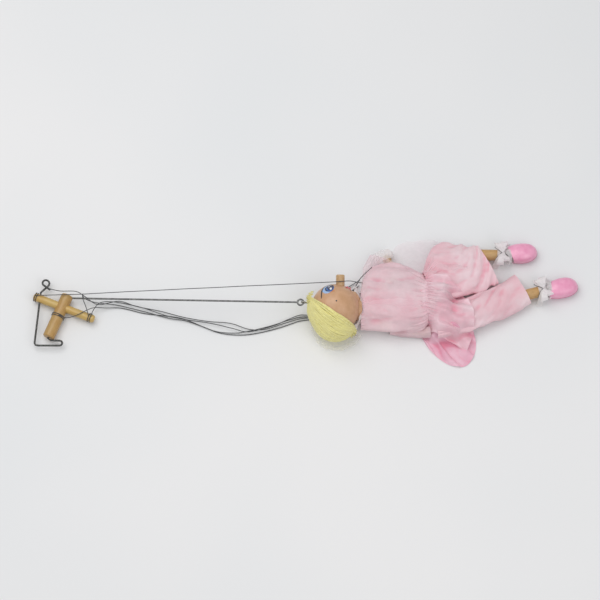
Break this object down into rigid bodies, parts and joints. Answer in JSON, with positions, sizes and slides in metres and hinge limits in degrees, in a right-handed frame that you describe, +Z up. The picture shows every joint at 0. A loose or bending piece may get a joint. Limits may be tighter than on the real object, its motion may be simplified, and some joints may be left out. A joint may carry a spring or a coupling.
{
  "type": "marionette",
  "caption": "rod and string marionette of a small jointed doll in a gathered pink dress, hung from a wooden cross control by a head rod and black threads",
  "frame": {"origin": "middle of the bounding box in plan, on the surface the doll and its control lie on", "axes": "+X from the control towards the feet, the longest extent; +Y towards the doll's left side; +Z up off the surface, the way the face looks"},
  "size_m": [0.5462, 0.1339, 0.0506],
  "materials": {
    "grip_wood": "clear-varnished beech dowel",
    "cross_wood": "clear-varnished beech dowel",
    "wire": "dark oxide wire",
    "thread": "black waxed thread",
    "painted_wood": "flesh-tan satin paint over turned wood",
    "nose_wood": "flesh-tan satin paint over a dowel",
    "yarn": "pale yellow combed yarn",
    "net": "white open net",
    "screw_eye": "nickelled steel",
    "body_wood": "bare turned wood",
    "limb_wood": "bare dowel, lightly varnished",
    "lace": "white gathered lace",
    "bodice_cloth": "pale pink sheer satin",
    "skirt_cloth": "pink sheer cloth",
    "sleeve_cloth": "white and pink net",
    "trouser_cloth": "pink soft cotton",
    "ribbon": "white sheer ribbon",
    "shoe_leather": "bright pink glossy"
  },
  "bodies": {
    "torso": {"torso": "body_wood", "torso_eyes": "screw_eye", "collar": "lace", "bodice": "bodice_cloth", "skirt": "skirt_cloth"},
    "head": {"head_ball": "painted_wood", "nose_peg": "nose_wood", "hair": "yarn", "veil": "net", "head_eyes": "screw_eye"},
    "control": {"grip": "grip_wood", "cross_dowel": "cross_wood", "lever_wire": "wire", "head_rod": "wire", "string_ties": "thread", "string_1": "thread", "string_2": "thread", "string_3": "thread", "string_4": "thread", "string_5": "thread"},
    "upper_arm_left": {"upper_arm_left": "limb_wood", "upper_arm_left_eyes": "screw_eye", "sleeve_left": "sleeve_cloth"},
    "forearm_left": {"forearm_left": "limb_wood", "forearm_left_eye": "screw_eye"},
    "thigh_left": {"thigh_left": "limb_wood", "thigh_left_eyes": "screw_eye", "trouser_left": "trouser_cloth"},
    "shin_left": {"shin_left": "limb_wood", "shin_left_eyes": "screw_eye", "bow_left": "ribbon"},
    "shoe_left": {"shoe_left": "shoe_leather", "shoe_left_eye": "screw_eye"},
    "upper_arm_right": {"upper_arm_right": "limb_wood", "upper_arm_right_eyes": "screw_eye", "sleeve_right": "sleeve_cloth"},
    "forearm_right": {"forearm_right": "limb_wood", "forearm_right_eye": "screw_eye"},
    "thigh_right": {"thigh_right": "limb_wood", "thigh_right_eyes": "screw_eye", "trouser_right": "trouser_cloth"},
    "shin_right": {"shin_right": "limb_wood", "shin_right_eyes": "screw_eye", "bow_right": "ribbon"},
    "shoe_right": {"shoe_right": "shoe_leather", "shoe_right_eye": "screw_eye"}
  },
  "joints": [
    {"name": "neck_nod", "type": "hinge", "parent": "torso", "child": "head", "pos_m": [0.05665, -0.0065, 0.016], "axis": [0, 1, 0], "range_deg": [-10, 35], "deforming": ["collar", "bodice", "string_1", "string_2", "string_3", "string_4", "string_5"]},
    {"name": "hook_swing", "type": "hinge", "parent": "head", "child": "control", "pos_m": [-0.00254, -0.00513, 0.03109], "axis": [-0.0558, -0.9984, 0], "range_deg": [-60, 60], "deforming": ["string_1", "string_2", "string_3", "string_4", "string_5"]},
    {"name": "shoulder_left", "type": "hinge", "parent": "torso", "child": "upper_arm_left", "pos_m": [0.068, 0.01185, 0.0125], "axis": [0, 0, 1], "range_deg": [-30, 80], "deforming": ["sleeve_left", "bodice", "string_1", "string_2", "string_3", "string_4", "string_5"]},
    {"name": "shoulder_right", "type": "hinge", "parent": "torso", "child": "upper_arm_right", "pos_m": [0.068, -0.01685, 0.0125], "axis": [0, 0, 1], "range_deg": [-60, 8], "deforming": ["sleeve_right", "bodice"]},
    {"name": "elbow_left", "type": "hinge", "parent": "upper_arm_left", "child": "forearm_left", "pos_m": [0.0925, 0.03169, 0.007], "axis": [0, 0, 1], "range_deg": [-80, 35], "deforming": ["sleeve_left", "string_1", "string_2", "string_3", "string_4", "string_5"]},
    {"name": "elbow_right", "type": "hinge", "parent": "upper_arm_right", "child": "forearm_right", "pos_m": [0.09723, -0.02866, 0.007], "axis": [0, 0, 1], "range_deg": [-90, 5], "deforming": ["sleeve_right"]},
    {"name": "hip_left", "type": "hinge", "parent": "torso", "child": "thigh_left", "pos_m": [0.13135, 0.007, 0.012], "axis": [0, 0, 1], "range_deg": [-5, 25], "deforming": ["trouser_left", "skirt"]},
    {"name": "hip_right", "type": "hinge", "parent": "torso", "child": "thigh_right", "pos_m": [0.13135, -0.012, 0.012], "axis": [0, 1, 0], "range_deg": [-60, 10], "deforming": ["trouser_right", "skirt"]},
    {"name": "knee_left", "type": "hinge", "parent": "thigh_left", "child": "shin_left", "pos_m": [0.13552, 0.05465, 0.008], "axis": [0, 0, 1], "range_deg": [-6, 80], "deforming": ["trouser_left"]},
    {"name": "knee_right", "type": "hinge", "parent": "thigh_right", "child": "shin_right", "pos_m": [0.17766, -0.00002, 0.008], "axis": [-0.2504, 0.9681, 0], "range_deg": [-30, 70], "deforming": ["trouser_right"]},
    {"name": "ankle_left", "type": "hinge", "parent": "shin_left", "child": "shoe_left", "pos_m": [0.19951, 0.05353, 0.008], "axis": [0.0175, 0.9998, 0], "range_deg": [-30, 30]},
    {"name": "ankle_right", "type": "hinge", "parent": "shin_right", "child": "shoe_right", "pos_m": [0.23962, 0.016, 0.008], "axis": [-0.2504, 0.9681, 0], "range_deg": [-30, 30]}
  ]
}
